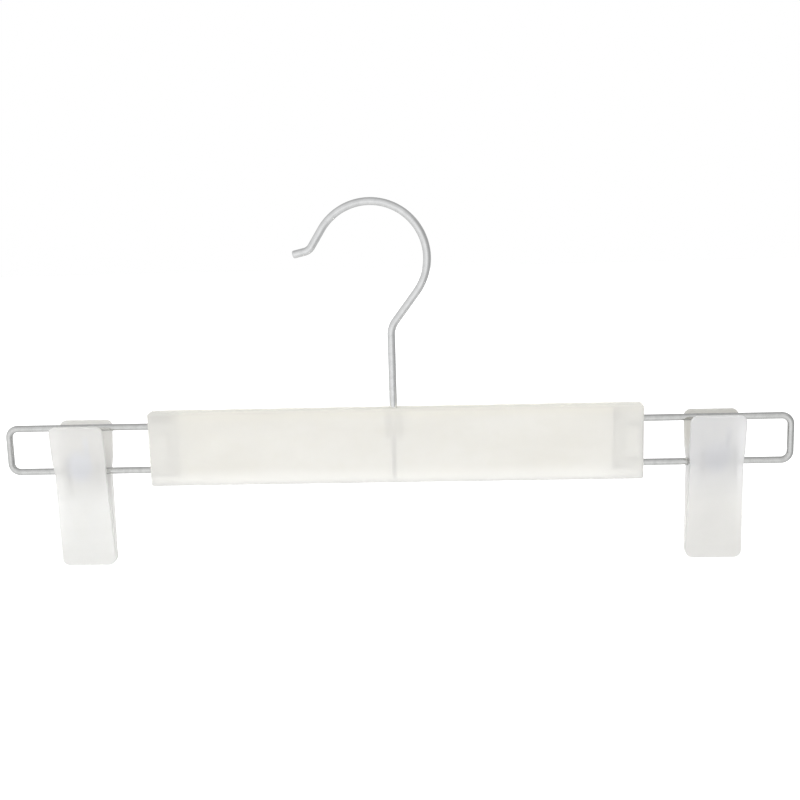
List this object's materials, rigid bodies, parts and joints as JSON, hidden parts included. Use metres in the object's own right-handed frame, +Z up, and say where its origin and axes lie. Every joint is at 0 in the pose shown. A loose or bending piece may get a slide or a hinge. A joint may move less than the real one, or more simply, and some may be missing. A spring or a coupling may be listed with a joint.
{
  "type": "trouser and skirt hanger with sliding clips",
  "caption": "Trouser and skirt hanger with a swivelling wire hook, a slim moulded bar and sprung clips that slide on wire loops at its ends.",
  "frame": {"origin": "inside top of the hook, where it rests on the rail", "axes": "+X along the bar to the right seen from the front, +Y to the rear, +Z up"},
  "size_m": [0.352, 0.0186, 0.1631],
  "materials": {
    "hook_wire": "bright plated wire",
    "loop_wire": "bright plated wire",
    "bar_plastic": "frosted translucent polypropylene",
    "clip_plastic": "frosted translucent polypropylene",
    "sleeve_steel": "rolled steel tube",
    "spring_steel": "drawn spring wire"
  },
  "bodies": {
    "hook": {"hook": "hook_wire"},
    "bar": {"bar_front_shell": "bar_plastic", "bar_rear_shell": "bar_plastic", "left_wire_loop": "loop_wire", "right_wire_loop": "loop_wire"},
    "left_slider": {"left_pivot_sleeve": "sleeve_steel"},
    "left_rocker": {"left_clip_spring": "spring_steel"},
    "left_front_jaw_body": {"left_front_jaw": "clip_plastic"},
    "left_rear_jaw_body": {"left_rear_jaw": "clip_plastic"},
    "right_slider": {"right_pivot_sleeve": "sleeve_steel"},
    "right_rocker": {"right_clip_spring": "spring_steel"},
    "right_front_jaw_body": {"right_front_jaw": "clip_plastic"},
    "right_rear_jaw_body": {"right_rear_jaw": "clip_plastic"}
  },
  "joints": [
    {"name": "hook_swivel", "type": "hinge", "parent": "hook", "child": "bar", "pos_m": [0.0082, 0, -0.089], "axis": [0, 0, 1], "continuous": true},
    {"name": "left_clip_slide", "type": "slide", "parent": "bar", "child": "left_slider", "axis": [-1, 0, 0], "range_m": [-0.019, 0.019]},
    {"name": "left_clip_rock", "type": "hinge", "parent": "left_slider", "child": "left_rocker", "pos_m": [-0.1333, 0, -0.11575], "axis": [1, 0, 0], "range_deg": [-4, 4]},
    {"name": "left_clip_open", "type": "hinge", "parent": "left_rocker", "child": "left_front_jaw_body", "pos_m": [-0.1333, 0, -0.11575], "axis": [-1, 0, 0], "range_deg": [0, 11.5], "stiffness_Nm_per_rad": 0.24, "springref_deg": -34.38, "deforming": ["left_clip_spring"]},
    {"name": "left_rear_jaw_open", "type": "hinge", "parent": "left_rocker", "child": "left_rear_jaw_body", "pos_m": [-0.1333, 0, -0.11575], "axis": [1, 0, 0], "range_deg": [0, 11.5], "deforming": ["left_clip_spring"]},
    {"name": "right_clip_slide", "type": "slide", "parent": "bar", "child": "right_slider", "axis": [1, 0, 0], "range_m": [-0.019, 0.019]},
    {"name": "right_clip_rock", "type": "hinge", "parent": "right_slider", "child": "right_rocker", "pos_m": [0.1497, 0, -0.11575], "axis": [1, 0, 0], "range_deg": [-4, 4]},
    {"name": "right_clip_open", "type": "hinge", "parent": "right_rocker", "child": "right_front_jaw_body", "pos_m": [0.1497, 0, -0.11575], "axis": [-1, 0, 0], "range_deg": [0, 11.5], "stiffness_Nm_per_rad": 0.24, "springref_deg": -34.38, "deforming": ["right_clip_spring"]},
    {"name": "right_rear_jaw_open", "type": "hinge", "parent": "right_rocker", "child": "right_rear_jaw_body", "pos_m": [0.1497, 0, -0.11575], "axis": [1, 0, 0], "range_deg": [0, 11.5], "deforming": ["right_clip_spring"]}
  ],
  "couplings": [
    {"joint": "left_rear_jaw_open", "follows": "left_clip_open", "ratio": 1},
    {"joint": "right_rear_jaw_open", "follows": "right_clip_open", "ratio": 1}
  ]
}
